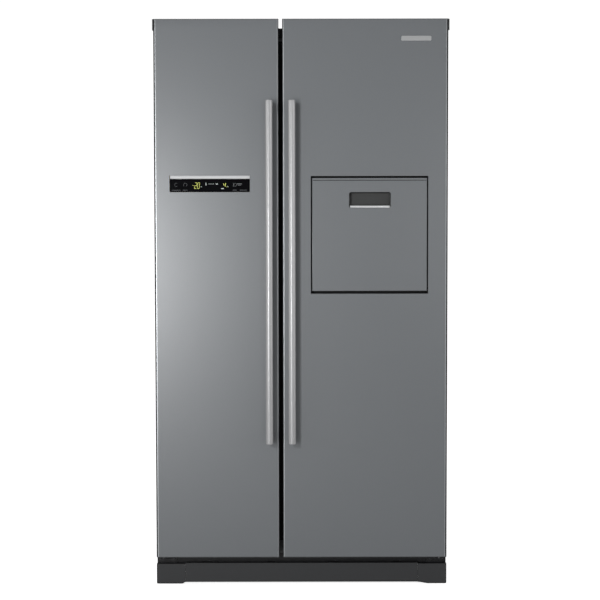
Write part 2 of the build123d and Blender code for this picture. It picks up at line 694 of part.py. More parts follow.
with BuildPart() as display_panel:
    slab(DISPLAY_X, DISPLAY_Y, DISPLAY_Z)

with BuildPart() as display_trim:
    slab(DISPLAY_X, DISPLAY_Y, STRIP_Z)

FREEZER_BIN_X = (-368.0, -124.0)
FRIDGE_BIN_X = (-8.0, 368.0)
BIN_HIGH = 110.0
BIN_T = 3.0
FREEZER_BINS = ((200.0, 130.0), (520.0, 142.0), (780.0, 142.0), (1040.0, 142.0), (1300.0, 142.0))
FRIDGE_BINS = ((200.0, 130.0), (520.0, 146.0), (1330.0, 146.0), (1520.0, 146.0))

with BuildPart() as freezer_door_bins:
    for z, back in FREEZER_BINS:
        open_bin(FREEZER_BIN_X, (z, z + BIN_HIGH), back)

# refrigerator door ------------------------------------------------------------

TRAY_WALL = 2.5
BAR_SHELF_Z = (900.0, 960.0)
BAR_SHELF_S = 146.0
BAR_PIN_R = 3.0
BAR_PIN_LENGTH = 22.0

with BuildPart() as fridge_door_skin:
    door_skin(RIGHT_DOOR)
    slab(BAR_OPEN_X, depth(-1, 3), BAR_OPEN_Z, Mode.SUBTRACT)

with BuildPart() as fridge_door_core:
    door_core(RIGHT_DOOR)
    slab(
        grow(BAR_OPEN_X, TRAY_WALL), depth(0, TRAY_S + TRAY_WALL),
        grow(BAR_OPEN_Z, TRAY_WALL), Mode.SUBTRACT,
    )
    slab(grow(TUNNEL_X, TRAY_WALL), depth(0, 61), grow(TUNNEL_Z, TRAY_WALL), Mode.SUBTRACT)

with BuildPart() as fridge_door_liner:
    door_liner(RIGHT_DOOR, FRIDGE_DYKE)
    slab(TUNNEL_X, depth(50, 61), TUNNEL_Z, Mode.SUBTRACT)

with BuildPart() as fridge_door_caps:
    door_caps(RIGHT_DOOR, HINGE_X)

with BuildPart() as fridge_door_gasket:
    gasket((-52, 430))

with BuildPart() as fridge_handle_bar:
    handle_bar(HANDLE_X[1])

with BuildPart() as fridge_handle_posts:
    handle_posts(HANDLE_X[1])

with BuildPart() as fridge_door_bins:
    for z, back in FRIDGE_BINS:
        open_bin(FRIDGE_BIN_X, (z, z + BIN_HIGH), back)
    low, high = BAR_SHELF_Z
    slab(FRIDGE_BIN_X, depth(60, BAR_SHELF_S), (low, low + BIN_T))
    slab(FRIDGE_BIN_X, depth(BAR_SHELF_S - BIN_T, BAR_SHELF_S), (low + BIN_T, high))
    left, right = FRIDGE_BIN_X
    for x in ((left, left + BIN_T), (right - BIN_T, right)):
        slab(x, depth(60, BAR_SHELF_S - BIN_T), (low + BIN_T, high))

with BuildPart() as home_bar_frame:
    outer = (grow(BAR_OPEN_X, TRAY_WALL), grow(BAR_OPEN_Z, TRAY_WALL))
    slab(outer[0], depth(SHEET, TRAY_S + TRAY_WALL), outer[1])
    slab(BAR_OPEN_X, depth(0, TRAY_S), BAR_OPEN_Z, Mode.SUBTRACT)
    slab(grow(TUNNEL_X, TRAY_WALL), depth(TRAY_S + TRAY_WALL, 57), grow(TUNNEL_Z, TRAY_WALL))
    slab(TUNNEL_X, depth(TRAY_S - 1, 58), TUNNEL_Z, Mode.SUBTRACT)
    y, z = BAR_AXIS
    rod((BAR_OPEN_X[0] - 2, y, z), BAR_PIN_R, BAR_PIN_LENGTH, "X")
    rod((BAR_OPEN_X[1] + 2 - BAR_PIN_LENGTH, y, z), BAR_PIN_R, BAR_PIN_LENGTH, "X")

# home bar -----------------------------------------------------------------------


def home_bar_bores():
    """Running bores for the two hinge pins."""
    y, z = BAR_AXIS
    rod((BAR_X[0] - 1, y, z), BAR_PIN_R + FIT, 18, "X", Mode.SUBTRACT)
    rod((BAR_X[1] - 17, y, z), BAR_PIN_R + FIT, 18, "X", Mode.SUBTRACT)


with BuildPart() as home_bar_panel:
    slab(BAR_X, depth(0, 30), BAR_Z)
    slab(grow(BAR_X, -SHEET), depth(SHEET, 31), grow(BAR_Z, -SHEET), Mode.SUBTRACT)
    slab(GRIP_X, depth(-1, 3), (LIP_Z, GRIP_Z[1]), Mode.SUBTRACT)
    home_bar_bores()

BAR_SHEET_S = 30.0
BAR_BACK_S = 38.0
PLUG_X = (70.0, 352.0)
PLUG_Z = (968.0, 1242.0)
PLUG_T = 14.0
POCKET_S = 28.0
POCKET_X = grow(GRIP_X, 2)
POCKET_Z = (LIP_Z - 2, GRIP_Z[1] + 2)

with BuildPart() as home_bar_core:
    slab(grow(BAR_X, -SHEET), depth(SHEET, BAR_SHEET_S), grow(BAR_Z, -SHEET))
    slab(BAR_X, depth(BAR_SHEET_S, BAR_BACK_S), BAR_Z)
    slab(PLUG_X, depth(BAR_BACK_S, 55), PLUG_Z)
    slab(grow(PLUG_X, -PLUG_T), depth(40, 56), grow(PLUG_Z, -PLUG_T), Mode.SUBTRACT)
    slab(POCKET_X, depth(0, POCKET_S), POCKET_Z, Mode.SUBTRACT)
    home_bar_bores()

with BuildPart() as home_bar_grip:
    slab(POCKET_X, depth(SHEET, POCKET_S), POCKET_Z)
    slab(GRIP_X, depth(0, 26), GRIP_Z, Mode.SUBTRACT)
    slab(GRIP_X, depth(0, SHEET), (LIP_Z, GRIP_Z[0]))

with BuildPart() as home_bar_gasket:
    ring(grow(PLUG_X, 14), grow(PLUG_Z, 14), depth(BAR_BACK_S, 41.5), 5)

NODES = {
    "cabinet_shell": cabinet_shell,
    "back_panel": back_panel,
    "insulation_foam": insulation_foam,
    "freezer_liner": freezer_liner,
    "fridge_liner": fridge_liner,
    "mullion_rail": mullion_rail,
    "top_front_trim": top_front_trim,
    "base_frame": base_frame,
    "machine_cover": machine_cover,
    "cable_gland": cable_gland,
    "compressor": compressor,
    "condenser_coil": condenser_coil,
    "condenser_fan_shroud": condenser_fan_shroud,
    "condenser_fan": condenser_fan,
    "drain_pan": drain_pan,
    "top_hinges": top_hinges,
    "hinge_screws": hinge_screws,
    "hinge_covers": hinge_covers,
    "bottom_hinges": bottom_hinges,
    "base_cover": base_cover,
    "base_cover_ends": base_cover_ends,
    "shelf_glass": shelf_glass,
    "shelf_trims": shelf_trims,
    "freezer_rear_duct": freezer_rear_duct,
    "evaporator_fan": evaporator_fan,
    "evaporator": evaporator,
    "fridge_rear_duct": fridge_rear_duct,
    "ice_maker_frame": ice_maker_frame,
    "ice_tray": ice_tray,
    "freezer_drawer_lower": freezer_drawer_lower,
    "freezer_drawer_upper": freezer_drawer_upper,
    "crisper_lower": crisper_lower,
    "crisper_upper": crisper_upper,
    "freezer_door_skin": freezer_door_skin,
    "freezer_door_core": freezer_door_core,
    "freezer_door_liner": freezer_door_liner,
    "freezer_door_caps": freezer_door_caps,
    "freezer_door_gasket": freezer_door_gasket,
    "freezer_handle_bar": freezer_handle_bar,
    "freezer_handle_posts": freezer_handle_posts,
    "display_panel": display_panel,
    "display_trim": display_trim,
    "freezer_door_bins": freezer_door_bins,
    "fridge_door_skin": fridge_door_skin,
    "fridge_door_core": fridge_door_core,
    "fridge_door_liner": fridge_door_liner,
    "fridge_door_caps": fridge_door_caps,
    "fridge_door_gasket": fridge_door_gasket,
    "fridge_handle_bar": fridge_handle_bar,
    "fridge_handle_posts": fridge_handle_posts,
    "fridge_door_bins": fridge_door_bins,
    "home_bar_frame": home_bar_frame,
    "home_bar_panel": home_bar_panel,
    "home_bar_core": home_bar_core,
    "home_bar_grip": home_bar_grip,
    "home_bar_gasket": home_bar_gasket,
}

for name, node in NODES.items():
    node.part.label = name
    export_step(node.part, f"parts/{name}.step")
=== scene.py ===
"""Looks for the side by side refrigerator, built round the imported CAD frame. Metres."""

import bpy
import bmesh
import math
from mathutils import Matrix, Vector


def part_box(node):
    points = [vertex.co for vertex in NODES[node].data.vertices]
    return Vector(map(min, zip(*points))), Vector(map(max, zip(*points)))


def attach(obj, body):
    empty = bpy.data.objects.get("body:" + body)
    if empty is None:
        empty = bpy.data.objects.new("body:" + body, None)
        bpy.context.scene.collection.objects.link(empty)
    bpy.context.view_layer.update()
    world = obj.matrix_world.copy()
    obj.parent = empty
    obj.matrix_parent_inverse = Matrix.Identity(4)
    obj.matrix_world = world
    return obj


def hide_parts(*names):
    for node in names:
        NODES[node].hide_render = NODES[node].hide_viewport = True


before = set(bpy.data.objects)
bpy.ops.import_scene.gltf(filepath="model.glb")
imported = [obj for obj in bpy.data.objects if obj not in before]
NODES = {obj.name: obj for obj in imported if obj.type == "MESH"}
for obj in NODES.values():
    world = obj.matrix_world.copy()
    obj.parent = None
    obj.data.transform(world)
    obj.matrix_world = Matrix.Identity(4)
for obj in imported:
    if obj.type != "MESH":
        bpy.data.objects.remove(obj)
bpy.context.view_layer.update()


def node_box(name):
    """Lowest and highest corner of a node as plain tuples."""
    lo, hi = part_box(name)
    return tuple(lo), tuple(hi)


# materials ---------------------------------------------------------------------


def material(
    name, color, rough, metal=0.0, scale=(60, 60, 60), tint=0.06, rough_var=0.06,
    bump=0.05, bump_scale=1.0, coat=0.0, clear=0.0, ior=1.45, detail=4.0, glow=0.0,
    shine=0.5, rim=1.0,
):
    """Principled material whose colour, roughness and relief vary with object-space noise."""
    mat = bpy.data.materials.new(name)
    mat.use_nodes = True
    nodes, links = mat.node_tree.nodes, mat.node_tree.links
    shader = nodes["Principled BSDF"]
    shader.inputs["Metallic"].default_value = metal
    shader.inputs["Coat Weight"].default_value = coat
    shader.inputs["Coat Roughness"].default_value = 0.12
    shader.inputs["Transmission Weight"].default_value = clear
    shader.inputs["IOR"].default_value = ior
    shader.inputs["Specular IOR Level"].default_value = shine
    shader.inputs["Specular Tint"].default_value = (rim, rim, rim, 1)
    coords = nodes.new("ShaderNodeTexCoord")
    place = nodes.new("ShaderNodeMapping")
    place.inputs["Scale"].default_value = scale
    links.new(coords.outputs["Object"], place.inputs["Vector"])
    noise = nodes.new("ShaderNodeTexNoise")
    noise.inputs["Scale"].default_value = 1.0
    noise.inputs["Detail"].default_value = detail
    noise.inputs["Roughness"].default_value = 0.6
    links.new(place.outputs["Vector"], noise.inputs["Vector"])
    ramp = nodes.new("ShaderNodeValToRGB")
    ramp.color_ramp.elements[0].position = 0.25
    ramp.color_ramp.elements[1].position = 0.75
    ramp.color_ramp.elements[0].color = (*[c * (1 - tint) for c in color], 1)
    ramp.color_ramp.elements[1].color = (*[min(1.0, c * (1 + tint)) for c in color], 1)
    links.new(noise.outputs["Fac"], ramp.inputs["Fac"])
    links.new(ramp.outputs["Color"], shader.inputs["Base Color"])
    spread = nodes.new("ShaderNodeMapRange")
    spread.inputs["To Min"].default_value = max(0.02, rough - rough_var)
    spread.inputs["To Max"].default_value = min(1.0, rough + rough_var)
    links.new(noise.outputs["Fac"], spread.inputs["Value"])
    links.new(spread.outputs["Result"], shader.inputs["Roughness"])
    relief = nodes.new("ShaderNodeTexNoise")
    relief.inputs["Scale"].default_value = 4.0 * bump_scale
    relief.inputs["Detail"].default_value = 3.0
    links.new(place.outputs["Vector"], relief.inputs["Vector"])
    lift = nodes.new("ShaderNodeBump")
    lift.inputs["Strength"].default_value = bump
    lift.inputs["Distance"].default_value = 0.0004
    links.new(relief.outputs["Fac"], lift.inputs["Height"])
    links.new(lift.outputs["Normal"], shader.inputs["Normal"])
    if glow:
        shader.inputs["Emission Color"].default_value = (*color, 1)
        shader.inputs["Emission Strength"].default_value = glow
    return mat


def spangle(name, color):
    """Galvanised sheet: crystal patches of slightly different grey."""
    mat = material(name, color, 0.38, metal=0.9, scale=(1, 1, 1), bump=0.02, bump_scale=60)
    nodes, links = mat.node_tree.nodes, mat.node_tree.links
    coords = nodes["Texture Coordinate"]
    cells = nodes.new("ShaderNodeTexVoronoi")
    cells.inputs["Scale"].default_value = 55.0
    links.new(coords.outputs["Object"], cells.inputs["Vector"])
    ramp = nodes["Color Ramp"]
    ramp.color_ramp.elements[0].position = 0.0
    ramp.color_ramp.elements[1].position = 1.0
    tone = nodes.new("ShaderNodeSeparateColor")
    links.new(cells.outputs["Color"], tone.inputs["Color"])
    links.new(tone.outputs["Red"], ramp.inputs["Fac"])
    return mat


MATS = {
    "door": material(
        "door_paint", (0.086, 0.092, 0.098), 0.29, metal=0.15, scale=(420, 420, 420),
        tint=0.05, rough_var=0.03, bump=0.05, detail=2, shine=0.8,
    ),
    # painted shade: the door sides are near-black with no specular, so each door's silhouette shows a
    # dark outline
    "side": material(
        "door_side_painted_shade", (0.009, 0.0095, 0.010), 0.60, scale=(420, 420, 420),
        tint=0.06, rough_var=0.04, bump=0.08, detail=2, shine=0.0,
    ),
    "cabinet": material(
        "cabinet_paint", (0.085, 0.09, 0.092), 0.48, metal=0.1, scale=(300, 300, 300),
        tint=0.05, rough_var=0.05, bump=0.12, detail=2, shine=0.4,
    ),
    "bar": material(
        "bar_aluminium", (0.30, 0.30, 0.305), 0.26, metal=0.6, scale=(700, 700, 700),
        tint=0.03, rough_var=0.03, bump=0.01, detail=1,
    ),
    "chrome": material(
        "chrome_trim", (0.44, 0.445, 0.45), 0.30, metal=1.0, scale=(400, 400, 400),
        tint=0.03, rough_var=0.03, bump=0.01, detail=1,
    ),
    # painted highlight: near-white metal for the lip under the home bar pocket, standing in for light
    # reflected off its lower edge
    "bright": material(
        "grip_lip_painted_highlight", (0.82, 0.83, 0.84), 0.30, metal=1.0, scale=(400, 400, 400),
        tint=0.03, rough_var=0.03, bump=0.01, detail=1,
    ),
    "satin": material(
        "satin_trim", (0.34, 0.345, 0.35), 0.40, metal=0.1, scale=(400, 400, 400),
        tint=0.03, rough_var=0.03, bump=0.02, detail=1, shine=0.3,
    ),
    "glass_black": material(
        "display_glass", (0.0015, 0.0015, 0.002), 0.10, scale=(30, 30, 30),
        tint=0.2, rough_var=0.03, bump=0.0, shine=0.05,
    ),
    # painted highlight: a brighter, fully metallic copy of the door paint on the door folds, so they
    # read as bright lit lines
    "edge": material(
        "door_edge_painted_highlight", (0.27, 0.28, 0.29), 0.36, metal=1.0, scale=(400, 400, 400),
        tint=0.02, rough_var=0.02, bump=0.003, detail=1, rim=0.1,
    ),
    "charcoal": material(
        "kick_plastic", (0.0180, 0.0186, 0.0198), 0.55, scale=(500, 500, 500),
        tint=0.10, rough_var=0.08, bump=0.25, shine=0.35,
    ),
    "cap": material(
        "cap_plastic", (0.050, 0.052, 0.054), 0.45, scale=(450, 450, 450),
        tint=0.08, rough_var=0.06, bump=0.15, shine=0.3,
    ),
    "dark": material(
        "dark_plastic", (0.006, 0.006, 0.0065), 0.50, scale=(350, 350, 350),
        tint=0.15, rough_var=0.08, bump=0.15, shine=0.2,
    ),
    "pocket": material(
        "pocket_plastic", (0.011, 0.012, 0.012), 0.38, scale=(400, 400, 400),
        tint=0.10, rough_var=0.06, bump=0.15,
    ),
    # dark paint made near-black as painted shade: on the mullion rail it darkens the gap between the
    # doors, on the home bar bead the crease
    "rail": material(
        "rail_paint_and_painted_shade", (0.008, 0.0085, 0.009), 0.45, scale=(300, 300, 300),
        tint=0.10, rough_var=0.06, bump=0.08, shine=0.12,
    ),
    "white": material(
        "liner_plastic", (0.66, 0.67, 0.675), 0.34, scale=(160, 160, 160),
        tint=0.02, rough_var=0.06, bump=0.10, coat=0.15,
    ),
    "foam": material(
        "foam", (0.72, 0.60, 0.32), 0.92, scale=(260, 260, 260),
        tint=0.18, rough_var=0.05, bump=0.9,
    ),
    "clear": material(
        "bin_plastic", (0.86, 0.90, 0.92), 0.16, scale=(40, 40, 40),
        tint=0.02, rough_var=0.05, bump=0.02, clear=0.75, ior=1.35,
    ),
    "glass": material(
        "shelf_glass", (0.86, 0.96, 0.93), 0.04, scale=(20, 20, 20),
        tint=0.01, rough_var=0.02, bump=0.0, clear=0.95, ior=1.3,
    ),
    "rubber": material(
        "gasket_rubber", (0.13, 0.135, 0.14), 0.62, scale=(300, 300, 20),
        tint=0.10, rough_var=0.08, bump=0.2,
    ),
    "black_rubber": material(
        "black_rubber", (0.012, 0.012, 0.012), 0.7, scale=(300, 300, 300),
        tint=0.2, rough_var=0.1, bump=0.3,
    ),
    "black_zinc": material(
        "black_zinc_steel", (0.030, 0.030, 0.031), 0.40, metal=0.9, scale=(180, 180, 180),
        tint=0.12, rough_var=0.10, bump=0.10,
    ),
    "zinc": material(
        "zinc_steel", (0.42, 0.42, 0.41), 0.36, metal=0.95, scale=(180, 180, 180),
        tint=0.10, rough_var=0.10, bump=0.10,
    ),
    "galvanised": spangle("galvanised_sheet", (0.42, 0.43, 0.44)),
    "enamel": material(
        "black_enamel", (0.008, 0.008, 0.009), 0.32, scale=(140, 140, 140),
        tint=0.15, rough_var=0.07, bump=0.35, coat=0.05, shine=0.3,
    ),
    "fins": material(
        "fin_aluminium", (0.60, 0.61, 0.62), 0.42, metal=0.9, scale=(60, 900, 60),
        tint=0.08, rough_var=0.10, bump=0.15,
    ),
    "copper": material(
        "copper_pipe", (0.55, 0.27, 0.15), 0.30, metal=1.0, scale=(90, 90, 90),
        tint=0.15, rough_var=0.12, bump=0.06,
    ),
    "pan": material(
        "pan_plastic", (0.10, 0.105, 0.11), 0.5, scale=(200, 200, 200),
        tint=0.08, rough_var=0.06, bump=0.15,
    ),
    "digit": material(
        "display_digit", (0.50, 0.53, 0.13), 0.4, scale=(300, 300, 300),
        tint=0.10, bump=0.0, glow=0.75, shine=0.1,
    ),
    "icon": material(
        "display_icon", (0.30, 0.32, 0.32), 0.4, scale=(300, 300, 300),
        tint=0.08, bump=0.0, glow=0.40, shine=0.1,
    ),
    # painted light: the unlit keys' print glows faintly, so it shows on the black glass
    "icon_dim": material(
        "display_keys_painted_glow", (0.085, 0.088, 0.092), 0.4, scale=(300, 300, 300),
        tint=0.10, bump=0.0, glow=0.30, shine=0.1,
    ),
    "lamp": material(
        "lamp_lens", (0.95, 0.93, 0.88), 0.35, scale=(300, 30, 30),
        tint=0.03, rough_var=0.08, bump=0.3, glow=0.8,
    ),
}


# mesh building ------------------------------------------------------------------


def make_object(name, mesh, mat, angle=35):
    """Object from a mesh with one material, smooth except across sharp angles."""
    for poly in mesh.polygons:
        poly.use_smooth = True
    mesh.set_sharp_from_angle(angle=math.radians(angle))
    mesh.materials.append(MATS[mat])
    piece = bpy.data.objects.new(name, mesh)
    bpy.context.scene.collection.objects.link(piece)
    return piece


def finish_piece(piece, body, slot, *replaced):
    """Keep flat faces flat, attach the piece to its body and hide what it stands for; slot is not used.
    """
    if piece.type == "MESH":
        flat = piece.modifiers.new("flat_faces", "WEIGHTED_NORMAL")
        flat.keep_sharp = True
    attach(piece, body)
    if replaced:
        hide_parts(*replaced)
    return piece


def from_bmesh(name, bm, mat, angle=35):
    """Object from a bmesh, with its normals made consistent first."""
    bmesh.ops.recalc_face_normals(bm, faces=bm.faces)
    mesh = bpy.data.meshes.new(name)
    bm.to_mesh(mesh)
    bm.free()
    return make_object(name, mesh, mat, angle)


def add_prism(bm, outline, plane, low, high):
    """Closed prism: an outline of 2-D points carried along the third axis between low and high."""
    def point(a, b, c):
        return {"XZ": (a, c, b), "XY": (a, b, c), "YZ": (c, a, b)}[plane]

    bottom = [bm.verts.new(point(a, b, low)) for a, b in outline]
    top = [bm.verts.new(point(a, b, high)) for a, b in outline]
    count = len(outline)
    faces = [bm.faces.new(bottom), bm.faces.new(top)]
    for i in range(count):
        j = (i + 1) % count
        faces.append(bm.faces.new((bottom[i], bottom[j], top[j], top[i])))
    return faces


def bevel_all(bm, width, segments=2, angle=30):
    """Round every edge sharper than the given angle."""
    bmesh.ops.recalc_face_normals(bm, faces=bm.faces)
    limit = math.radians(angle)
    edges = [e for e in bm.edges if len(e.link_faces) == 2 and e.calc_face_angle(0) > limit]
    bmesh.ops.bevel(
        bm, geom=edges, offset=width, segments=segments, profile=0.5,
        affect="EDGES", clamp_overlap=True,
    )


def rounded_rect(x0, x1, z0, z1, radius, steps=6):
    """Outline of a rectangle with rounded corners, anticlockwise."""
    points = []
    corners = ((x1, z0, -90), (x1, z1, 0), (x0, z1, 90), (x0, z0, 180))
    for x, z, start in corners:
        cx = x - radius if x == x1 else x + radius
        cz = z - radius if z == z1 else z + radius
        for k in range(steps + 1):
            a = math.radians(start + 90.0 * k / steps)
            points.append((cx + radius * math.cos(a), cz + radius * math.sin(a)))
    return points


def bridge(bm, a, b):
    """Band of quads between two closed loops of vertices."""
    for i in range(len(a)):
        j = (i + 1) % len(a)
        bm.faces.new((a[i], a[j], b[j], b[i]))


def absorb(bm, part):
    """Add a finished bmesh to another one and free it."""
    mesh = bpy.data.meshes.new("part")
    part.to_mesh(mesh)
    part.free()
    bm.from_mesh(mesh)
    bpy.data.meshes.remove(mesh)


def bevelled_box(bm, lo, hi, width, segments=2):
    """Closed box with rounded edges, added to a bmesh."""
    part = bmesh.new()
    outline = [(lo[0], lo[1]), (hi[0], lo[1]), (hi[0], hi[1]), (lo[0], hi[1])]
    add_prism(part, outline, "XY", lo[2], hi[2])
    bevel_all(part, width, segments)
    absorb(bm, part)


def box_between(bm, x_a, x_b, y, z, width):
    """Rounded box whose two x ends may come in either order; y and z are low and high."""
    bevelled_box(bm, (min(x_a, x_b), y[0], z[0]), (max(x_a, x_b), y[1], z[1]), width)


def add_thickness(piece, thickness, offset):
    """Give a thin surface its material thickness."""
    solid = piece.modifiers.new("thickness", "SOLIDIFY")
    solid.thickness = thickness
    solid.offset = offset
    return solid


def folded_sheet(name, path, levels, keep, finish, thickness, mats):
    """Bent sheet metal: a path of (x, y) points at several heights.

    keep(x, y, z) is False where there is a hole, and finish(x, y, z) picks from mats.
    """
    bm = bmesh.new()
    rows = [[bm.verts.new((x, y, z)) for x, y in path] for z in levels]
    for r in range(len(levels) - 1):
        for c in range(len(path) - 1):
            middle = (
                (path[c][0] + path[c + 1][0]) / 2,
                (path[c][1] + path[c + 1][1]) / 2,
                (levels[r] + levels[r + 1]) / 2,
            )
            if keep(*middle):
                face = bm.faces.new((rows[r][c], rows[r][c + 1], rows[r + 1][c + 1], rows[r + 1][c]))
                face.material_index = finish(*middle)
    loose = [v for v in bm.verts if not v.link_faces]
    bmesh.ops.delete(bm, geom=loose, context="VERTS")
    mesh = bpy.data.meshes.new(name)
    bm.to_mesh(mesh)
    bm.free()
    piece = make_object(name, mesh, mats[0])
    for mat in mats[1:]:
        mesh.materials.append(MATS[mat])
    solid = add_thickness(piece, thickness, -1.0)
    solid.use_even_offset = True
    solid.use_quality_normals = True
    return piece


def front_path(x0, x1, front, back, radius, stops, lip, steps=8):
    """Plan outline of a folded door front, from the left rear round to the right rear."""
    points = [(x0, back), (x0, front + lip)]
    for k in range(steps + 1):
        a = math.radians(180 + 90.0 * k / steps)
        points.append((x0 + radius + radius * math.cos(a), front + radius + radius * math.sin(a)))
    points += [(x, front) for x in sorted(stops)]
    for k in range(steps + 1):
        a = math.radians(270 + 90.0 * k / steps)
        points.append((x1 - radius + radius * math.cos(a), front + radius + radius * math.sin(a)))
    return points + [(x1, front + lip), (x1, back)]


def tube(name, points, radius, mat):
    """Smooth round pipe through the points."""
    curve = bpy.data.curves.new(name, "CURVE")
    curve.dimensions = "3D"
    curve.bevel_depth = radius
    curve.bevel_resolution = 4
    curve.resolution_u = 8
    spline = curve.splines.new("NURBS")
    spline.points.add(len(points) - 1)
    for point, co in zip(spline.points, points):
        point.co = (*co, 1)
    spline.order_u = 3
    spline.use_endpoint_u = True
    curve.materials.append(MATS[mat])
    piece = bpy.data.objects.new(name, curve)
    bpy.context.scene.collection.objects.link(piece)
    return piece


# doors ---------------------------------------------------------------------------

SHEET = 0.001
EDGE = 0.005  # radius of the fold between front and side
LIP = 0.009  # depth of the sheet above LIP_FOOT, where the end cap shows behind it
LIP_FOOT = 1.736
OUTER_X = 0.4  # beyond this distance from the middle a face is on a door's outer side
RIM = 0.0072  # width of the painted highlight band at the outer side of the front
FRONT_DEPTH = 0.00003  # faces this near the front are the front itself
OUTER_BAND = 0.0001  # depth of the painted edge highlight at the outer side
INNER_BAND = 0.0016  # and at the side that meets the other door


def door_skin(name, node, body, hole):
    """Folded sheet skin with one rectangular hole in its front."""
    lo, hi = node_box(node)
    (hx0, hz0), (hx1, hz1) = hole
    stops = (hx0, hx1, lo[0] + RIM, hi[0] - RIM)
    path = front_path(lo[0], hi[0], lo[1], hi[1], EDGE, stops, LIP)

    def keep(x, y, z):
        if z > LIP_FOOT and y > lo[1] + LIP:
            return False
        return not (hx0 < x < hx1 and hz0 < z < hz1 and y < lo[1] + SHEET)

    # faces on the fold take the brighter edge metal (painted highlight); faces further back take the
    # near-black side paint (painted shade)
    def finish(x, y, z):
        depth, inset = y - lo[1], min(x - lo[0], hi[0] - x)
        outer = abs(x) > OUTER_X
        if depth > (OUTER_BAND if outer else INNER_BAND):
            return 2
        return int(depth > FRONT_DEPTH or (outer and inset < RIM))

    levels = [lo[2], hz0, hz1, LIP_FOOT, hi[2]]
    piece = folded_sheet(name, path, levels, keep, finish, SHEET, ("door", "edge", "side"))
    return finish_piece(piece, body, "door_paint", node)


glass_lo, glass_hi = node_box("display_panel")
strip_lo, strip_hi = node_box("display_trim")
door_skin(
    "freezer_skin", "freezer_door_skin", "freezer_door",
    ((glass_lo[0], glass_lo[2]), (strip_hi[0], strip_hi[2])),
)
tray_lo, tray_hi = node_box("home_bar_frame")
WALL = 0.0025
door_skin(
    "fridge_skin", "fridge_door_skin", "fridge_door",
    ((tray_lo[0] + WALL, tray_lo[2] + WALL), (tray_hi[0] - WALL, tray_hi[2] - WALL)),
)


# handles ---------------------------------------------------------------------------

FOOT_H = 0.034  # height of each standoff


def handle_profile(x0, x1, front, back):
    """Plan outline of the handle bar: a flat middle band between two rounded shoulders."""
    middle, half = (x0 + x1) / 2, (x1 - x0) / 2
    band, steps, corner = 0.2, 24, 0.003
    points = []
    for k in range(steps + 1):
        u = -1 + 2 * k / steps
        side = max(0.0, abs(u) - band)
        shoulder = half * (0.24 * side + 0.40 * side * side)
        points.append((middle + half * u, front + shoulder))
    return points + [(x1, back - corner), (x1 - corner, back), (x0 + corner, back), (x0, back - corner)]


def handle(prefix, body):
    """Bar and its end pieces, each closed and rounded."""
    lo, hi = node_box(prefix + "_handle_bar")
    post_lo, post_hi = node_box(prefix + "_handle_posts")
    bm = bmesh.new()
    add_prism(bm, handle_profile(lo[0], hi[0], lo[1], hi[1]), "XY", lo[2], hi[2])
    piece = from_bmesh(prefix + "_bar", bm, "bar", 10)
    finish_piece(piece, body, "bar_aluminium", prefix + "_handle_bar")
    bm = bmesh.new()
    outline = handle_profile(lo[0] + 0.0002, hi[0] - 0.0002, lo[1] + 0.0004, hi[1])
    for z0, z1 in ((post_lo[2], lo[2]), (hi[2], post_hi[2])):
        part = bmesh.new()
        add_prism(part, outline, "XY", z0, z1)
        outer = z0 if z0 < 1.0 else z1
        rim = [e for e in part.edges if all(abs(v.co.z - outer) < 1e-6 for v in e.verts)]
        bmesh.ops.bevel(part, geom=rim, offset=0.0028, segments=4, profile=0.5, affect="EDGES")
        absorb(bm, part)
    middle = (lo[0] + hi[0]) / 2
    for z0, z1 in ((post_lo[2], post_lo[2] + FOOT_H), (post_hi[2] - FOOT_H, post_hi[2])):
        foot = rounded_rect(middle - 0.0085, middle + 0.0085, z0 + 0.001, z1 - 0.001, 0.004)
        collar = rounded_rect(middle - 0.0105, middle + 0.0105, z0 + 0.0005, z1, 0.005)
        add_prism(bm, foot, "XZ", hi[1] - 0.001, post_hi[1])
        add_prism(bm, collar, "XZ", post_hi[1] - 0.004, post_hi[1])
    piece = from_bmesh(prefix + "_bar_ends", bm, "bar", 25)
    return finish_piece(piece, body, "bar_aluminium", prefix + "_handle_posts")


handle("freezer", "freezer_door")
handle("fridge", "fridge_door")


# display ---------------------------------------------------------------------------

bm = bmesh.new()
outline = rounded_rect(
    glass_lo[0] + 0.0012, glass_hi[0] - 0.0004, glass_lo[2] + 0.0002, glass_hi[2], 0.0018,
)
add_prism(bm, outline, "XZ", glass_lo[1], glass_hi[1])
bevel_all(bm, 0.0005)
piece = from_bmesh("display_glass", bm, "glass_black")
finish_piece(piece, "freezer_door", "display_glass", "display_panel")

bm = bmesh.new()
profile = [
    (strip_lo[1] + 0.0006, strip_lo[2] + 0.0001), (strip_lo[1] - 0.0009, strip_lo[2] + 0.0016),
    (strip_lo[1] - 0.0012, strip_lo[2] + 0.0045), (strip_lo[1] - 0.0009, strip_hi[2] - 0.0018),
    (strip_lo[1] + 0.0002, strip_hi[2] - 0.0001), (strip_hi[1], strip_hi[2] - 0.0001),
    (strip_hi[1], strip_lo[2] + 0.0001),
]
add_prism(bm, profile, "YZ", strip_lo[0] + 0.0020, strip_hi[0] - 0.0004)
bevel_all(bm, 0.0003)
piece = from_bmesh("display_strip", bm, "satin", 60)
finish_piece(piece, "freezer_door", "chrome_trim", "display_trim")

GLASS_W = glass_hi[0] - glass_lo[0]
GLASS_H = glass_hi[2] - glass_lo[2]
ICON_Y = (glass_lo[1] - 0.00025, glass_lo[1] + 0.0003)
SEGMENTS = {"0": "abcdef", "2": "abged", "4": "fgbc", "-": "g"}


def glass_point(u, v):
    """Point on the display by its share of the width and height."""
    return glass_lo[0] + u * GLASS_W, glass_lo[2] + v * GLASS_H


def stroke(bm, a, b, width):
    """Thin straight mark on the display with pointed ends."""
    a, b = Vector(a), Vector(b)
    along = (b - a).normalized()
    across = Vector((-along.y, along.x)) * width / 2
    tip = along * width / 2
    outline = [a, a + tip + across, b - tip + across, b, b - tip - across, a + tip - across]
    add_prism(bm, [tuple(p) for p in outline], "XZ", *ICON_Y)


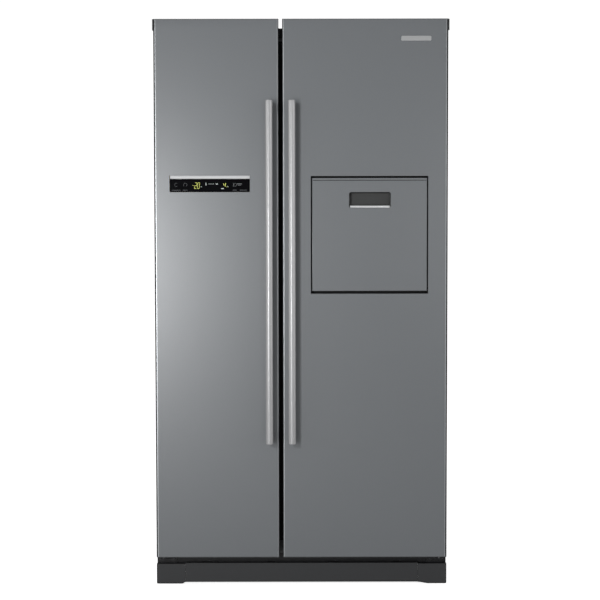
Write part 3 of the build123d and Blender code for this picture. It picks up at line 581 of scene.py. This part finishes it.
def digit(bm, sign, x, z, w, h, line):
    """Slanted seven-segment sign with its lower left corner at x, z."""
    slant = 0.14

    def lean(point):
        return point[0] + slant * (point[1] - z), point[1]

    spots = {
        "a": ((x, z + h), (x + w, z + h)), "b": ((x + w, z + h), (x + w, z + h / 2)),
        "c": ((x + w, z + h / 2), (x + w, z)), "d": ((x, z), (x + w, z)),
        "e": ((x, z), (x, z + h / 2)), "f": ((x, z + h / 2), (x, z + h)),
        "g": ((x, z + h / 2), (x + w, z + h / 2)),
    }
    for key in SEGMENTS[sign]:
        stroke(bm, *map(lean, spots[key]), line)


def marks(name, mat, draw):
    """One piece of flat marks on the display."""
    bm = bmesh.new()
    draw(bm)
    piece = from_bmesh(name, bm, mat)
    return finish_piece(piece, "freezer_door", "display_glass")


def draw_digits(bm):
    """The two lit readings."""
    x, z = glass_point(0.285, 0.27)
    digit(bm, "-", x - 0.0010, z, 0.0042, 0.0180, 0.0007)
    digit(bm, "2", x + 0.0062, z, 0.0058, 0.0180, 0.0007)
    digit(bm, "0", x + 0.0148, z, 0.0058, 0.0180, 0.0007)
    x, z = glass_point(0.668, 0.40)
    digit(bm, "4", x, z, 0.0062, 0.0115, 0.0008)
    stroke(bm, (x + 0.0105, z + 0.0004), (x + 0.0122, z + 0.0004), 0.0010)


def draw_icons(bm):
    """Lit symbols between and below the readings."""
    x, z = glass_point(0.454, 0.62)
    stroke(bm, (x, z - 0.003), (x, z + 0.004), 0.0018)
    stroke(bm, (x - 0.002, z - 0.003), (x + 0.003, z - 0.003), 0.0012)
    for k in range(4):
        stroke(bm, (x + 0.008 + 0.0045 * k, z), (x + 0.0112 + 0.0045 * k, z), 0.0013)
    stroke(bm, (x + 0.030, z + 0.002), (x + 0.0335, z - 0.002), 0.0016)
    stroke(bm, (x + 0.0335, z - 0.002), (x + 0.037, z + 0.002), 0.0016)
    x, z = glass_point(0.642, 0.27)
    stroke(bm, (x, z), (x + 0.009, z), 0.0022)
    for u in (0.392, 0.722):
        x, z = glass_point(u, 0.45)
        stroke(bm, (x, z), (x + 0.0022, z - 0.003), 0.0013)


def ring_mark(bm, x, z, radius, line, start=0, sweep=360):
    """Round mark of short strokes, open when sweep is under a full turn."""
    count = 14
    for k in range(count):
        a = math.radians(start + sweep * k / count)
        b = math.radians(start + sweep * (k + 1) / count)
        stroke(
            bm, (x + radius * math.cos(a), z + radius * math.sin(a)),
            (x + radius * math.cos(b), z + radius * math.sin(b)), line,
        )


def draw_dim(bm):
    """Unlit keys with a dashed line under each; their print glows faintly as painted light."""
    x, z = glass_point(0.085, 0.56)
    ring_mark(bm, x, z, 0.0052, 0.0009, 60, 250)
    x, z = glass_point(0.197, 0.56)
    ring_mark(bm, x, z, 0.0052, 0.0009, -60, 290)
    x, z = glass_point(0.795, 0.56)
    stroke(bm, (x, z - 0.006), (x, z + 0.006), 0.0009)
    ring_mark(bm, x + 0.006, z, 0.0045, 0.0009)
    x, z = glass_point(0.87, 0.60)
    stroke(bm, (x - 0.008, z + 0.001), (x + 0.008, z + 0.001), 0.0022)
    stroke(bm, (x - 0.005, z - 0.003), (x + 0.005, z - 0.003), 0.0014)
    for u, w in ((0.028, 0.028), (0.166, 0.015), (0.785, 0.013), (0.875, 0.023)):
        x, z = glass_point(u, 0.15)
        steps = max(3, round(w / 0.0035))
        for k in range(steps):
            stroke(bm, (x + k * w / steps, z), (x + (k + 0.72) * w / steps, z), 0.0020)


marks("display_digits", "digit", draw_digits)
marks("display_icons", "icon", draw_icons)
marks("display_keys", "icon_dim", draw_dim)

# badge ------------------------------------------------------------------------------

skin_lo, skin_hi = node_box("fridge_door_skin")
BADGE_X = (skin_hi[0] - 0.1445, skin_hi[0] - 0.0525)
BADGE_Z = (skin_hi[2] - 0.0655, skin_hi[2] - 0.0505)
bm = bmesh.new()
outline = rounded_rect(BADGE_X[0], BADGE_X[1], BADGE_Z[0], BADGE_Z[1], 0.0035)
add_prism(bm, outline, "XZ", skin_lo[1] - 0.0012, skin_lo[1] + 0.0004)
bevel_all(bm, 0.0005)
piece = from_bmesh("blank_badge", bm, "chrome")
finish_piece(piece, "fridge_door", "chrome_trim")

# home bar -----------------------------------------------------------------------------

panel_lo, panel_hi = node_box("home_bar_panel")
grip_lo, grip_hi = node_box("home_bar_grip")
GRIP_X = (grip_lo[0] + 0.002, grip_hi[0] - 0.002)
GRIP_Z = (grip_lo[2] + 0.002, grip_hi[2] - 0.002)
LIP_H = 0.008
MOUTH_R = 0.0065
CREASE_Z = panel_hi[2] - 0.0072


def panel_with_pocket(name, mat):
    """Home bar front with rounded edges and the pocket opening."""
    r = 0.0022
    x0, x1 = panel_lo[0], panel_hi[0]
    z0, z1 = panel_lo[2], panel_hi[2]
    y0, y1 = panel_lo[1], panel_hi[1]
    bm = bmesh.new()

    def inset(offset, depth):
        return [
            (x0 + offset, depth, z0 + offset), (x1 - offset, depth, z0 + offset),
            (x1 - offset, depth, z1 - offset), (x0 + offset, depth, z1 - offset),
        ]

    loops = [inset(0, y1)]
    for k in range(5):
        a = math.radians(90.0 * k / 4)
        loops.append(inset(r * (1 - math.cos(a)), y0 + r * (1 - math.sin(a))))
    rings = [[bm.verts.new(p) for p in loop] for loop in loops]
    for a, b in zip(rings, rings[1:]):
        bridge(bm, a, b)
    mouth = rounded_rect(*GRIP_X, *GRIP_Z, MOUTH_R)
    hole = [bm.verts.new((x, y0, z)) for x, z in mouth]
    edges = [bm.edges.new((hole[i], hole[(i + 1) % len(hole)])) for i in range(len(hole))]
    last = rings[-1]
    edges += [bm.edges.get((last[i], last[(i + 1) % 4])) for i in range(4)]
    bmesh.ops.triangle_fill(bm, edges=edges, use_beauty=True)
    bm.normal_update()
    for face in list(bm.faces):
        middle = face.calc_center_median()
        inside = GRIP_X[0] < middle.x < GRIP_X[1] and GRIP_Z[0] < middle.z < GRIP_Z[1]
        if inside and abs(middle.y - y0) < 1e-6:
            bm.faces.remove(face)
    rim = [bm.verts.new((x, y0 + 0.0025, z)) for x, z in mouth]
    bridge(bm, hole, rim)
    piece = from_bmesh(name, bm, mat, 40)
    add_thickness(piece, SHEET, -1.0)
    return piece


piece = panel_with_pocket("home_bar_front", "door")
finish_piece(piece, "home_bar", "door_paint", "home_bar_panel")

# painted shade: a thin near-black bead along the crease under the panel's top edge stands in for the
# shadow in the crease
bm = bmesh.new()
crease_shade_profile = [
    (panel_lo[1] - 0.0001, CREASE_Z - 0.0010), (panel_lo[1] - 0.0005, CREASE_Z - 0.0002),
    (panel_lo[1] - 0.0001, CREASE_Z + 0.0010), (panel_lo[1] + 0.0005, CREASE_Z + 0.0010),
    (panel_lo[1] + 0.0005, CREASE_Z - 0.0010),
]
add_prism(bm, crease_shade_profile, "YZ", panel_lo[0] + 0.0024, panel_hi[0] - 0.0024)
piece = from_bmesh("home_bar_crease_painted_shade", bm, "rail", 50)
finish_piece(piece, "home_bar", "door_paint")

bm = bmesh.new()
mouth = rounded_rect(*GRIP_X, *GRIP_Z, MOUTH_R)
middle_x, middle_z = sum(GRIP_X) / 2, sum(GRIP_Z) / 2
POCKET = (
    (0.0006, 1.0), (0.004, 0.992), (0.010, 0.985), (0.018, 0.975), (0.0235, 0.955), (0.0255, 0.90),
)
rings = []
for depth, shrink in POCKET:
    ring = [
        bm.verts.new((
            middle_x + (x - middle_x) * (1 - (1 - shrink) * 0.5), grip_lo[1] + depth,
            middle_z + (z - middle_z) * shrink,
        ))
        for x, z in mouth
    ]
    rings.append(ring)
for a, b in zip(rings, rings[1:]):
    bridge(bm, a, b)
bm.faces.new(rings[-1])
piece = from_bmesh("grip_pocket", bm, "pocket", 50)
add_thickness(piece, 0.0015, 1.0)
finish_piece(piece, "home_bar", "grey_plastic", "home_bar_grip")

bm = bmesh.new()
beads = []
for inset, depth in ((0.0, 0.0007), (0.0003, -0.0004), (0.0010, -0.0004), (0.0014, 0.0007)):
    loop = rounded_rect(
        GRIP_X[0] + inset, GRIP_X[1] - inset, GRIP_Z[0] + inset, GRIP_Z[1] - inset, MOUTH_R - inset,
    )
    beads.append([bm.verts.new((x, grip_lo[1] + depth, z)) for x, z in loop])
for k in range(len(beads)):
    bridge(bm, beads[k], beads[(k + 1) % len(beads)])
piece = from_bmesh("grip_rim", bm, "pocket", 60)
finish_piece(piece, "home_bar", "grey_plastic")

# lip under the pocket in near-white metal: a painted highlight along the pocket's lower edge
bm = bmesh.new()
z0, z1 = GRIP_Z[0] + 0.0003, GRIP_Z[0] + LIP_H
y = grip_lo[1]
profile = [
    (y + 0.0006, z0), (y - 0.0003, z0 + 0.0008), (y - 0.0006, z0 + 0.0030), (y - 0.0002, z0 + 0.0055),
    (y + 0.0014, z1 - 0.0003), (y + 0.0120, z1 - 0.0001), (y + 0.0120, z0),
]
add_prism(bm, profile, "YZ", GRIP_X[0] + 0.0030, GRIP_X[1] - 0.0030)
bevel_all(bm, 0.0008, 2, 60)
piece = from_bmesh("grip_lip", bm, "bright", 60)
finish_piece(piece, "home_bar", "chrome_trim")

# kick plate -----------------------------------------------------------------------------

plate_lo, plate_hi = node_box("base_cover")
ends_lo, ends_hi = node_box("base_cover_ends")
TOE = 0.0028  # how far the grey face stops above the bottom, so that the darker backing shows as a strip of painted shade along the lower edge
FACE_Y = (plate_lo[1], plate_lo[1] + 0.0012)
BACKING_Y = (plate_lo[1] + 0.0008, plate_lo[1] + 0.0035)
FLANGE_Y = (plate_lo[1] + 0.002, plate_lo[1] + 0.0165)
RIB_Y = (plate_lo[1] + 0.0035, plate_lo[1] + 0.014)
LAP_Y = (plate_lo[1] + 0.0036, plate_lo[1] + 0.005)
CLIP_FRONT = plate_lo[1] + 0.0155
RIBS = 15


def end_outline(side, rise=0.0):
    """Front outline of one end of the kick plate, with its curved step down to the floor side."""
    inner = plate_hi[0] if side > 0 else -plate_hi[0]
    outer = side * (ends_hi[0] - rise / 2)
    low, high = ends_lo[2] + rise, ends_hi[2]
    step = plate_lo[2] + rise
    run = 0.034 if side > 0 else 0.010
    points = [(inner, high)]
    for k in range(9):
        t = k / 8
        ease = t * t * (3 - 2 * t)
        points.append((inner + side * run * t, step + (low - step) * ease))
    points += [(outer - side * 0.002, low), (outer, low + 0.002)]
    points += [(outer, high - 0.001), (outer - side * 0.001, high)]
    return points


def plate_outline(rise=0.0):
    """Front outline of the kick plate."""
    x0, x1 = plate_lo[0] + 0.0003, plate_hi[0] - 0.0003
    low = plate_lo[2] + 0.0006 + rise
    return [(x0, low), (x1, low), (x1, plate_hi[2]), (x0, plate_hi[2])]


# the face is raised by TOE, leaving the darker backing below it as painted shade along the bottom edge
bm = bmesh.new()
add_prism(bm, plate_outline(TOE), "XZ", *FACE_Y)
bevel_all(bm, 0.0005)
piece = from_bmesh("kick_plate_face", bm, "charcoal")
finish_piece(piece, "cabinet", "grey_plastic")

bm = bmesh.new()
add_prism(bm, plate_outline(), "XZ", *BACKING_Y)
for z in ((plate_hi[2] - 0.003, plate_hi[2]), (plate_lo[2] + 0.0006, plate_lo[2] + 0.0036)):
    box_between(bm, plate_lo[0] + 0.001, plate_hi[0] - 0.001, FLANGE_Y, z, 0.0006)
for k in range(RIBS):
    x = plate_lo[0] + (k + 0.5) * (plate_hi[0] - plate_lo[0]) / RIBS
    low, high = (x - 0.001, RIB_Y[0], plate_lo[2] + 0.003), (x + 0.001, RIB_Y[1], plate_hi[2] - 0.002)
    bevelled_box(bm, low, high, 0.0003, 1)
for x in (-0.3, -0.1, 0.1, 0.3):
    clip_z = (plate_hi[2] - 0.0075, plate_hi[2])
    box_between(bm, x - 0.012, x + 0.012, (CLIP_FRONT, plate_hi[1]), clip_z, 0.0008)
piece = from_bmesh("kick_plate", bm, "dark")
finish_piece(piece, "cabinet", "grey_plastic", "base_cover")

bm = bmesh.new()
for side in (-1, 1):
    add_prism(bm, end_outline(side, TOE), "XZ", *FACE_Y)
bevel_all(bm, 0.0005, 2, 50)
piece = from_bmesh("kick_plate_end_faces", bm, "charcoal")
finish_piece(piece, "cabinet", "grey_plastic")

bm = bmesh.new()
for side in (-1, 1):
    add_prism(bm, end_outline(side), "XZ", *BACKING_Y)
    x_out, x_in, z_top = side * ends_hi[0], side * plate_hi[0], ends_hi[2]
    box_between(bm, x_in - side * 0.006, x_in, LAP_Y, (plate_lo[2] + 0.004, z_top - 0.004), 0.0003)
    box_between(bm, x_in, x_out, FLANGE_Y, (z_top - 0.003, z_top), 0.0006)
    box_between(bm, x_out - side * 0.003, x_out, FLANGE_Y, (ends_lo[2] + 0.001, z_top - 0.001), 0.0006)
    clip_z = (z_top - 0.006, z_top - 0.001)
    box_between(bm, side * 0.378, side * 0.388, (CLIP_FRONT, ends_hi[1]), clip_z, 0.0006)
piece = from_bmesh("kick_plate_ends", bm, "dark")
finish_piece(piece, "cabinet", "grey_plastic", "base_cover_ends")

# gaskets ------------------------------------------------------------------------------------


def gasket(name, node, body, width):
    """Bellows-shaped seal swept round a rectangle."""
    lo, hi = node_box(node)
    deep = hi[1] - lo[1]
    shape = [
        (0.00, 0.0), (0.10, 0.28), (0.24, 0.40), (0.10, 0.52), (0.04, 0.74), (0.10, 0.96), (0.30, 1.0),
        (0.72, 1.0), (0.92, 0.94), (0.98, 0.74), (0.90, 0.54), (0.74, 0.42), (0.90, 0.28), (1.00, 0.0),
    ]
    bm = bmesh.new()
    rings = []
    for u, v in shape:
        o, y = u * width, lo[1] + v * deep
        x0, x1, z0, z1 = lo[0] + o, hi[0] - o, lo[2] + o, hi[2] - o
        corners = ((x0, z0), (x1, z0), (x1, z1), (x0, z1))
        rings.append([bm.verts.new((x, y, z)) for x, z in corners])
    for k in range(len(rings)):
        bridge(bm, rings[k], rings[(k + 1) % len(rings)])
    piece = from_bmesh(name, bm, "rubber", 55)
    return finish_piece(piece, body, "gasket_rubber", node)


gasket("freezer_seal", "freezer_door_gasket", "freezer_door", 0.014)
gasket("fridge_seal", "fridge_door_gasket", "fridge_door", 0.014)
gasket("home_bar_seal", "home_bar_gasket", "home_bar", 0.005)

# machine room pipes ---------------------------------------------------------------------------

pump_lo, pump_hi = node_box("compressor")
coil_lo = node_box("condenser_coil")[0]
top = pump_hi[2]
cx, cy = (pump_lo[0] + pump_hi[0] - 0.03) / 2, (pump_lo[1] + pump_hi[1]) / 2
coil_x, run_z = coil_lo[0] + 0.004, 0.082
pipe = [
    (cx + 0.05, cy + 0.02, top - 0.03), (cx + 0.09, cy + 0.03, top - 0.005),
    (cx + 0.12, cy + 0.05, top + 0.01), (cx + 0.12, cy + 0.075, top - 0.06),
    (cx + 0.13, cy + 0.075, top - 0.12), (cx + 0.20, cy + 0.078, run_z),
    (cx + 0.36, cy + 0.086, run_z), (cx + 0.42, cy + 0.09, 0.10),
    (coil_x, 0.340, 0.13), (coil_x, 0.305, 0.165),
]
finish_piece(tube("discharge_pipe", pipe, 0.003, "copper"), "cabinet", "zinc_steel")
pipe = [
    (cx - 0.03, cy + 0.02, top - 0.012), (cx - 0.03, cy + 0.045, top + 0.016),
    (cx - 0.02, cy + 0.07, top + 0.008), (cx - 0.02, cy + 0.085, top - 0.03),
    (cx - 0.04, cy + 0.09, top + 0.02), (cx - 0.06, cy + 0.07, top + 0.04),
    (cx - 0.06, cy - 0.02, top + 0.045),
]
finish_piece(tube("suction_pipe", pipe, 0.004, "copper"), "cabinet", "zinc_steel")

# lamps ------------------------------------------------------------------------------------------

CEILING = 1.687  # height of both compartments' ceilings
LAMP_Y = (-0.19, -0.15)
RIDGE_Y = (-0.186, -0.154)

for label in ("freezer", "fridge"):
    lo, hi = node_box(label + "_liner")
    middle = (lo[0] + hi[0]) / 2
    bm = bmesh.new()
    low, high = (middle - 0.06, LAMP_Y[0], CEILING - 0.010), (middle + 0.06, LAMP_Y[1], CEILING)
    bevelled_box(bm, low, high, 0.003, 3)
    for k in range(11):
        x = middle - 0.05 + 0.01 * k
        low = (x - 0.0015, RIDGE_Y[0], CEILING - 0.0115)
        high = (x + 0.0015, RIDGE_Y[1], CEILING - 0.009)
        bevelled_box(bm, low, high, 0.0005, 1)
    finish_piece(from_bmesh(label + "_lamp", bm, "lamp"), "cabinet", "white_plastic")

# carried-over CAD nodes: material and edge rounding in metres ---------------------------------------

CARRIED = {
    "cabinet_shell": ("cabinet", 0.0), "back_panel": ("galvanised", 0.0),
    "insulation_foam": ("foam", 0.0),
    "freezer_liner": ("white", 0.0008), "fridge_liner": ("white", 0.0008),
    "mullion_rail": ("rail", 0.0006),
    "top_front_trim": ("dark", 0.0004), "base_frame": ("enamel", 0.0006),
    "machine_cover": ("galvanised", 0.0),
    "cable_gland": ("black_rubber", 0.0008), "compressor": ("enamel", 0.0),
    "condenser_coil": ("fins", 0.0),
    "condenser_fan_shroud": ("dark", 0.0005), "condenser_fan": ("dark", 0.0004),
    "drain_pan": ("pan", 0.0008),
    "top_hinges": ("zinc", 0.0005), "hinge_screws": ("black_zinc", 0.0006),
    "hinge_covers": ("cap", 0.002),
    "bottom_hinges": ("enamel", 0.0006), "front_foot_left": ("zinc", 0.0008),
    "front_foot_right": ("zinc", 0.0008),
    "rear_roller_left": ("dark", 0.0012), "rear_roller_right": ("dark", 0.0012),
    "shelf_glass": ("glass", 0.0006), "shelf_trims": ("white", 0.0009),
    "freezer_rear_duct": ("white", 0.0008),
    "evaporator_fan": ("dark", 0.0003), "evaporator": ("fins", 0.0),
    "fridge_rear_duct": ("white", 0.0012),
    "ice_maker_frame": ("white", 0.0012), "ice_tray": ("clear", 0.0008),
    "freezer_drawer_lower": ("clear", 0.0009), "freezer_drawer_upper": ("clear", 0.0009),
    "crisper_lower": ("clear", 0.0009), "crisper_upper": ("clear", 0.0009),
    "freezer_door_core": ("foam", 0.0), "freezer_door_liner": ("white", 0.0012),
    "freezer_door_caps": ("cap", 0.0004), "freezer_door_bins": ("clear", 0.0009),
    "fridge_door_core": ("foam", 0.0), "fridge_door_liner": ("white", 0.0012),
    "fridge_door_caps": ("cap", 0.0004), "fridge_door_bins": ("clear", 0.0009),
    "home_bar_frame": ("dark", 0.0006), "home_bar_core": ("white", 0.001),
}

for node, (mat, width) in CARRIED.items():
    piece = NODES[node]
    piece.data.materials.clear()
    piece.data.materials.append(MATS[mat])
    if width:
        weld = piece.modifiers.new("weld", "WELD")
        weld.merge_threshold = 0.00002
        edge = piece.modifiers.new("edges", "BEVEL")
        edge.width = width
        edge.segments = 2
        edge.limit_method = "ANGLE"
        edge.angle_limit = math.radians(40)
        edge.harden_normals = True

# stage, light and camera -------------------------------------------------------------------------------

bm = bmesh.new()
bmesh.ops.create_grid(bm, x_segments=8, y_segments=8, size=14.0)
floor_mesh = bpy.data.meshes.new("floor")
bm.to_mesh(floor_mesh)
bm.free()
MATS["floor"] = material(
    "studio_floor", (0.60, 0.60, 0.60), 0.9, scale=(3, 3, 3),
    tint=0.005, rough_var=0.03, bump=0.0, glow=1.5,
)
# the floor glows for the camera only, so that it reads as white without lighting the object
nodes, links = MATS["floor"].node_tree.nodes, MATS["floor"].node_tree.links
seen = nodes.new("ShaderNodeLightPath")
lift = nodes.new("ShaderNodeMath")
lift.operation = "MULTIPLY"
lift.inputs[1].default_value = 1.4
links.new(seen.outputs["Is Camera Ray"], lift.inputs[0])
links.new(lift.outputs[0], nodes["Principled BSDF"].inputs["Emission Strength"])
floor = make_object("floor", floor_mesh, "floor")


def area_light(name, spot, target, size, power):
    """Rectangular soft light aimed at a point."""
    data = bpy.data.lights.new(name, "AREA")
    data.shape = "RECTANGLE"
    data.size, data.size_y = size
    data.energy = power
    lamp = bpy.data.objects.new(name, data)
    lamp.location = spot
    direction = Vector(target) - Vector(spot)
    lamp.rotation_euler = direction.to_track_quat("-Z", "Y").to_euler()
    bpy.context.scene.collection.objects.link(lamp)
    return lamp


key = area_light("key", (-1.60, -5.3, 2.20), (-0.1, -0.3, 1.45), (0.55, 0.55), 50)
key.data.spread = math.radians(90)
key.visible_glossy = False  # it casts the handles' shadows without a spot on the paint
area_light("softbox_left", (-1.42, -5.2, 0.84), (-0.3, -0.3, 0.9), (0.7, 0.9), 84)
area_light("softbox_right", (1.55, -5.2, 1.1), (0.3, -0.3, 0.9), (0.9, 1.2), 12)
area_light("strip_left", (-3.6, -2.9, 1.4), (0, -0.3, 0.9), (2.0, 2.6), 25)
area_light("strip_right", (3.6, -2.9, 1.4), (0, -0.3, 0.9), (2.0, 2.6), 28)
area_light("softbox_top", (0.0, -0.4, 4.6), (0, 0.4, 0.0), (4.5, 4.5), 30)

world = bpy.data.worlds.new("studio")
world.use_nodes = True
bpy.context.scene.world = world
nodes, links = world.node_tree.nodes, world.node_tree.links
background = nodes["Background"]
coords = nodes.new("ShaderNodeTexCoord")
axes = nodes.new("ShaderNodeSeparateXYZ")
links.new(coords.outputs["Generated"], axes.inputs["Vector"])
sideways = nodes.new("ShaderNodeMath")
sideways.operation = "ABSOLUTE"
links.new(axes.outputs["X"], sideways.inputs[0])
shade = nodes.new("ShaderNodeValToRGB")
shade.color_ramp.elements[0].position = 0.35
shade.color_ramp.elements[0].color = (1, 1, 1, 1)
shade.color_ramp.elements[1].position = 0.95
shade.color_ramp.elements[1].color = (0.15, 0.15, 0.153, 1)
links.new(sideways.outputs[0], shade.inputs["Fac"])
links.new(shade.outputs["Color"], background.inputs["Color"])
background.inputs["Strength"].default_value = 0.5
backdrop = nodes.new("ShaderNodeBackground")
backdrop.inputs["Color"].default_value = (1, 1, 1, 1)
backdrop.inputs["Strength"].default_value = 1.05
seen = nodes.new("ShaderNodeLightPath")
blend = nodes.new("ShaderNodeMixShader")
links.new(seen.outputs["Is Camera Ray"], blend.inputs["Fac"])
links.new(background.outputs["Background"], blend.inputs[1])
links.new(backdrop.outputs["Background"], blend.inputs[2])
links.new(blend.outputs["Shader"], nodes["World Output"].inputs["Surface"])

CAMERA_DISTANCE = 5.0  # from the front of the doors
CAMERA_TILT, CAMERA_ROLL = 3.349, 0.09  # degrees
camera_data = bpy.data.cameras.new("camera")
camera_data.sensor_width = 36.0
camera_data.lens = 97.2
camera = bpy.data.objects.new("camera", camera_data)
camera.location = (-0.0032, skin_lo[1] - CAMERA_DISTANCE, 1.194)
camera.rotation_euler = (math.radians(90 - CAMERA_TILT), math.radians(CAMERA_ROLL), 0)
bpy.context.scene.collection.objects.link(camera)
bpy.context.scene.camera = camera
bpy.context.scene.view_settings.view_transform = "Standard"
